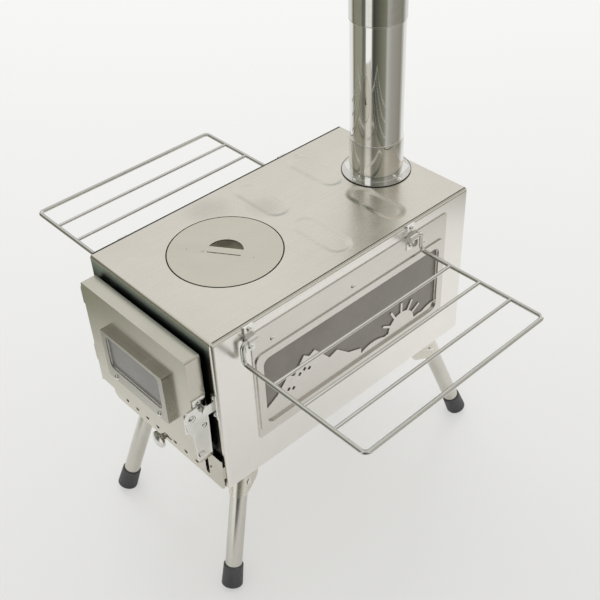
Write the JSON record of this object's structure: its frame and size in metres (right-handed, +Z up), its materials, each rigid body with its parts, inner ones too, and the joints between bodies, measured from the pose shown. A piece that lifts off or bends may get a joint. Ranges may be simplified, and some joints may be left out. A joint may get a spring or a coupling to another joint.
{
  "type": "folding tent wood stove",
  "caption": "Sheet-steel tent wood stove with folding legs, glazed door and sides, folding wire racks, cooking lid, air slide and a sectional flue.",
  "frame": {"origin": "on the floor, under the middle of the whole outline", "axes": "+Z up; the door faces -Y, the flue is at the +Y end; +X is the latch side of the door"},
  "size_m": [0.5614, 0.441, 0.711],
  "materials": {
    "sheet_steel": "satin stainless sheet",
    "sheet_steel_side": "satin stainless sheet",
    "sheet_steel_door": "satin stainless sheet, slightly darker",
    "pipe_steel": "mirror-polished stainless tube",
    "bright_steel": "polished stainless hardware",
    "inner_steel": "dull sheet inside the firebox",
    "side_glass": "smoked heat-resistant glass",
    "door_glass": "smoked heat-resistant glass",
    "rope_seal": "woven heat-resistant fibre",
    "foot_rubber": "moulded rubber, matt"
  },
  "bodies": {
    "firebox": {"body_shell": "sheet_steel", "base_plate": "sheet_steel", "back_panel": "sheet_steel", "front_frame": "sheet_steel", "lid_seat": "sheet_steel", "fire_grate": "inner_steel", "flue_collar": "pipe_steel", "flue_collar_screws": "bright_steel", "air_panel": "sheet_steel_door", "air_guides": "inner_steel", "window_plate_right": "sheet_steel_side", "window_cutout_right": "sheet_steel_side", "window_glass_right": "side_glass", "window_gasket_right": "rope_seal", "window_retainer_right": "sheet_steel", "window_screws_right": "bright_steel", "window_plate_left": "sheet_steel_side", "window_cutout_left": "sheet_steel_side", "window_glass_left": "side_glass", "window_gasket_left": "rope_seal", "window_retainer_left": "sheet_steel", "window_screws_left": "bright_steel", "rack_clips_right": "bright_steel", "rack_clip_screws_right": "bright_steel", "rack_clips_left": "bright_steel", "rack_clip_screws_left": "bright_steel", "leg_brackets": "sheet_steel", "leg_rivets": "bright_steel", "door_hinge_brackets": "bright_steel", "door_hinge_pins": "bright_steel", "latch_keeper": "bright_steel", "latch_keeper_screws": "bright_steel"},
    "lid": {"cooking_lid": "sheet_steel", "lid_grip_pocket": "inner_steel"},
    "pipe_lower": {"pipe_lower": "pipe_steel"},
    "pipe_upper": {"pipe_upper": "pipe_steel"},
    "door": {"door_pan": "sheet_steel_door", "door_liner": "sheet_steel", "door_rope_seal": "rope_seal", "door_window_frame": "sheet_steel_door", "door_glass": "door_glass", "door_glass_gasket": "rope_seal", "door_window_screws": "bright_steel", "door_hinge_leaves": "bright_steel", "latch_base": "bright_steel", "latch_rivets": "bright_steel"},
    "latch": {"latch_lever": "bright_steel"},
    "air_slide": {"air_slide": "sheet_steel", "air_knob": "bright_steel"},
    "rack_right": {"rack_right": "bright_steel"},
    "rack_left": {"rack_left": "bright_steel"},
    "leg_front_right": {"leg_front_right": "sheet_steel", "foot_front_right": "foot_rubber"},
    "leg_front_left": {"leg_front_left": "sheet_steel", "foot_front_left": "foot_rubber"},
    "leg_back_right": {"leg_back_right": "sheet_steel", "foot_back_right": "foot_rubber"},
    "leg_back_left": {"leg_back_left": "sheet_steel", "foot_back_left": "foot_rubber"}
  },
  "joints": [
    {"name": "lid_lift", "type": "slide", "parent": "firebox", "child": "lid", "axis": [0, 0, 1], "range_m": [0, 0.04]},
    {"name": "lower_pipe_lift", "type": "slide", "parent": "firebox", "child": "pipe_lower", "axis": [0, 0, 1], "range_m": [0, 0.04]},
    {"name": "upper_pipe_lift", "type": "slide", "parent": "pipe_lower", "child": "pipe_upper", "axis": [0, 0, 1], "range_m": [0, 0.04]},
    {"name": "door_swing", "type": "hinge", "parent": "firebox", "child": "door", "pos_m": [-0.095, -0.20448, 0.29], "axis": [0, 0, -1], "range_deg": [0, 165]},
    {"name": "latch_turn", "type": "hinge", "parent": "door", "child": "latch", "pos_m": [0.094, -0.21148, 0.281], "axis": [-1, 0, 0], "range_deg": [0, 55]},
    {"name": "air_slide_travel", "type": "slide", "parent": "firebox", "child": "air_slide", "axis": [1, 0, 0], "range_m": [0, 0.007]},
    {"name": "rack_right_fold", "type": "hinge", "parent": "firebox", "child": "rack_right", "pos_m": [0.1102, -0.00548, 0.353], "axis": [0, -1, 0], "range_deg": [0, 130]},
    {"name": "rack_left_fold", "type": "hinge", "parent": "firebox", "child": "rack_left", "pos_m": [-0.1102, -0.00548, 0.353], "axis": [0, 1, 0], "range_deg": [0, 130]},
    {"name": "leg_front_right_fold", "type": "hinge", "parent": "firebox", "child": "leg_front_right", "pos_m": [0.085, -0.15548, 0.1353], "axis": [0.8949, 0.4462, 0], "range_deg": [0, 110]},
    {"name": "leg_front_left_fold", "type": "hinge", "parent": "firebox", "child": "leg_front_left", "pos_m": [-0.085, -0.15548, 0.1353], "axis": [0.8949, -0.4462, 0], "range_deg": [0, 110]},
    {"name": "leg_back_right_fold", "type": "hinge", "parent": "firebox", "child": "leg_back_right", "pos_m": [0.085, 0.16452, 0.1353], "axis": [-0.8949, 0.4462, 0], "range_deg": [0, 110]},
    {"name": "leg_back_left_fold", "type": "hinge", "parent": "firebox", "child": "leg_back_left", "pos_m": [-0.085, 0.16452, 0.1353], "axis": [-0.8949, -0.4462, 0], "range_deg": [0, 110]}
  ]
}
